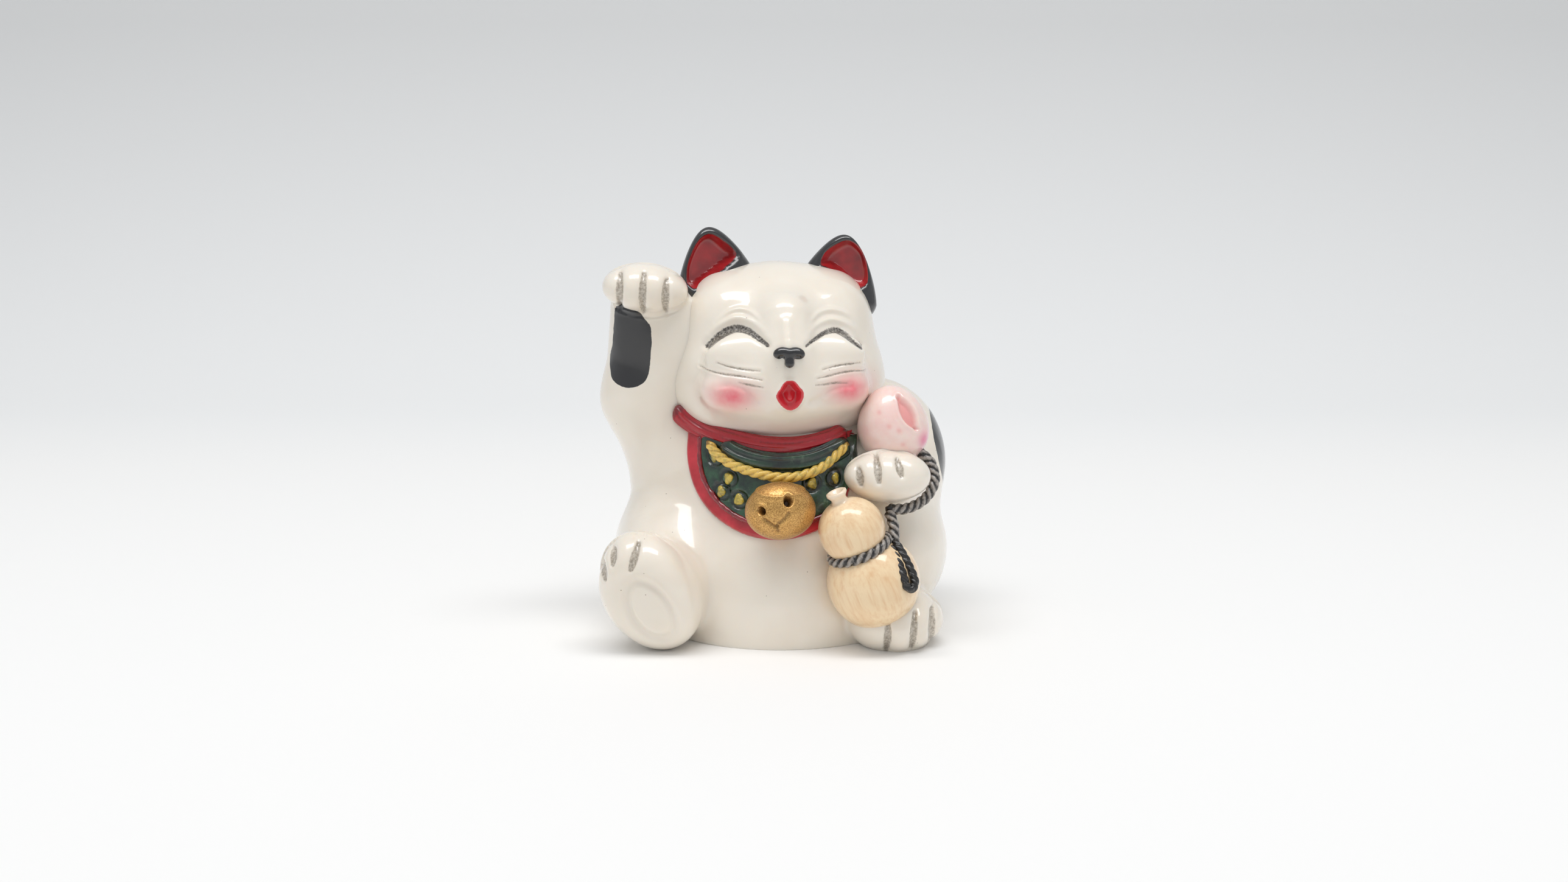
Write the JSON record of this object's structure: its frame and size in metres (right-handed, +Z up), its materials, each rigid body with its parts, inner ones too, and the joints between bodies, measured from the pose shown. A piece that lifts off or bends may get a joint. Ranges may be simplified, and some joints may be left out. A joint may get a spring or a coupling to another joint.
{
  "type": "lucky cat figurine",
  "caption": "Small seated lucky cat figurine with one paw raised, holding a peach and a roped gourd, cast in one piece, glossy white with painted details.",
  "frame": {"origin": "middle of the figurine's bounding box, on the flat underside that it stands on", "axes": "+Z up, the cat looks along -Y, and its raised paw is on the -X side"},
  "size_m": [0.051, 0.0426, 0.0576],
  "materials": {
    "white_glaze": "cast resin under a thick clear gloss, warm white, with hand-painted blush and fine lines",
    "black_paint": "glossy brushed black paint",
    "red_paint": "glossy red paint",
    "green_paint": "dark green paint, brushed unevenly over the cloth",
    "gold_paint": "gold metallic and yellow paint under gloss",
    "gourd_straw": "straw-coloured gloss with a fine brown grain",
    "peach_pink": "pale pink gloss, deeper in the cleft",
    "rope_grey": "cast rope washed black, grey on its high strands"
  },
  "bodies": {
    "root": {"lucky_cat": "white_glaze"}
  },
  "joints": []
}
